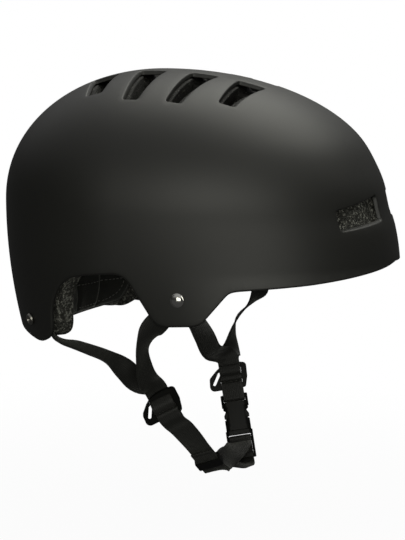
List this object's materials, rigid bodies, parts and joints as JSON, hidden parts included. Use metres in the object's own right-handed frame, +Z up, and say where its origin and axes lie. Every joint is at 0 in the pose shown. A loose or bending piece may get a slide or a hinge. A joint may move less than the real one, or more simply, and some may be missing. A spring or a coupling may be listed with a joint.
{
  "type": "skate helmet",
  "caption": "Skate helmet: vented hard shell with ear flaps over a foam liner with comfort pads, and a riveted webbing harness with dividers and a side release buckle.",
  "frame": {"origin": "middle of the head at the shell's widest level, on the middle plane, halfway between the widest points of the two sides", "axes": "+X forward over the brow, +Y towards the wearer's left, +Z up through the crown"},
  "size_m": [0.2704, 0.216, 0.2883],
  "materials": {
    "shell": "matte",
    "foam": "moulded bead foam",
    "pads": "brushed knit",
    "webbing": "woven",
    "moulded_plastic": "satin",
    "rivet_steel": "polished"
  },
  "bodies": {
    "helmet": {"shell": "shell", "foam_liner": "foam", "crown_pad": "pads", "brow_pad": "pads", "side_pad_right": "pads", "side_pad_left": "pads", "nape_pad": "pads", "hook_patches": "pads", "side_rivets": "rivet_steel", "rear_rivets": "rivet_steel", "side_washers": "rivet_steel", "rear_washers": "rivet_steel"},
    "harness": {"front_strap_leg_right": "webbing", "front_strap_leg_left": "webbing", "rear_strap_leg_right": "webbing", "rear_strap_leg_left": "webbing", "strap_divider_right": "moulded_plastic", "strap_divider_left": "moulded_plastic", "buckle_strap": "webbing", "buckle_socket": "moulded_plastic"},
    "tongue": {"buckle_tongue": "moulded_plastic", "chin_strap": "webbing"},
    "front_prong": {"prong_front": "moulded_plastic"},
    "rear_prong": {"prong_rear": "moulded_plastic"},
    "keeper": {"strap_keeper": "moulded_plastic"}
  },
  "joints": [
    {"name": "harness_swing", "type": "hinge", "parent": "helmet", "child": "harness", "pos_m": [0.0418, 0, -0.054], "axis": [0, 1, 0], "range_deg": [-10, 18], "deforming": ["front_strap_leg_right", "front_strap_leg_left", "rear_strap_leg_right", "rear_strap_leg_left"]},
    {"name": "buckle_release", "type": "slide", "parent": "harness", "child": "tongue", "axis": [0.2417, -0.2874, -0.9268], "range_m": [0, 0.02], "deforming": ["chin_strap", "prong_front", "prong_rear"]},
    {"name": "front_prong_squeeze", "type": "hinge", "parent": "tongue", "child": "front_prong", "pos_m": [0.04084, 0.06498, -0.1734], "axis": [0.2273, -0.9118, 0.342], "range_deg": [0, 9], "stiffness_Nm_per_rad": 0.02},
    {"name": "rear_prong_squeeze", "type": "hinge", "parent": "tongue", "child": "rear_prong", "pos_m": [0.02934, 0.0614, -0.17529], "axis": [-0.2273, 0.9118, -0.342], "range_deg": [0, 9], "stiffness_Nm_per_rad": 0.02},
    {"name": "keeper_slide", "type": "slide", "parent": "tongue", "child": "keeper", "axis": [0.0798, 0.8185, -0.5689], "range_m": [-0.006, 0.004]}
  ]
}
